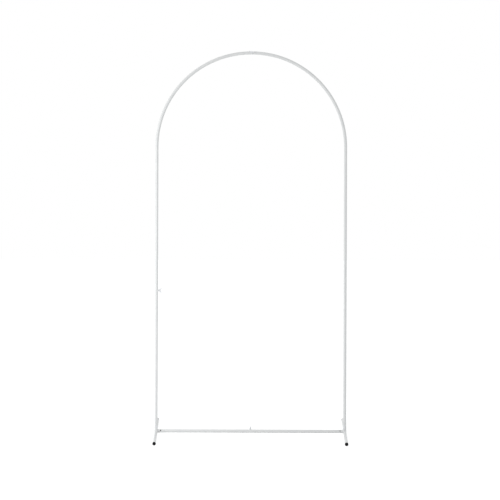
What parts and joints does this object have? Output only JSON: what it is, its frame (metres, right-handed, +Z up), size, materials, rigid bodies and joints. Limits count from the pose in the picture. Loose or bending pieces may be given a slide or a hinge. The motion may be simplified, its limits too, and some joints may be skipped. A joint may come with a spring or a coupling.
{
  "type": "wedding arch",
  "caption": "Free-standing knock-down garden arch of slim white steel tube, with a semicircular top, a low crossbar, and floor bars with capped ends, clamped by wing screws.",
  "frame": {"origin": "on the floor, midway between the two posts, in the plane of the arch", "axes": "+Z up; +X to the right as seen from the front; the front, with the foot screws, looks along -Y"},
  "size_m": [1.055, 0.498, 2],
  "materials": {
    "white_coat": "white powder coat, satin gloss with a fine orange peel",
    "coated_nut": "thin white powder coat over a welded steel nut",
    "zinc": "bright zinc plate on cast wings and a rolled thread",
    "black_plastic": "black moulded polyethylene, low sheen"
  },
  "bodies": {
    "root": {"foot_left": "white_coat", "foot_right": "white_coat", "cap_left_front": "black_plastic", "cap_left_back": "black_plastic", "cap_right_front": "black_plastic", "cap_right_back": "black_plastic", "crossbar_left": "white_coat", "crossbar_right": "white_coat", "lower_post_left": "white_coat", "lower_post_right": "white_coat", "upper_post_left": "white_coat", "upper_post_right": "white_coat", "arch_left": "white_coat", "arch_right": "white_coat", "nut_crown": "coated_nut", "nut_crossbar": "coated_nut", "nut_post_left": "coated_nut", "nut_post_right": "coated_nut", "nut_foot_left": "coated_nut", "nut_foot_right": "coated_nut", "screw_crown": "zinc", "screw_crossbar": "zinc", "screw_post_left": "zinc", "screw_post_right": "zinc", "screw_foot_left": "zinc", "screw_foot_right": "zinc"}
  },
  "joints": []
}
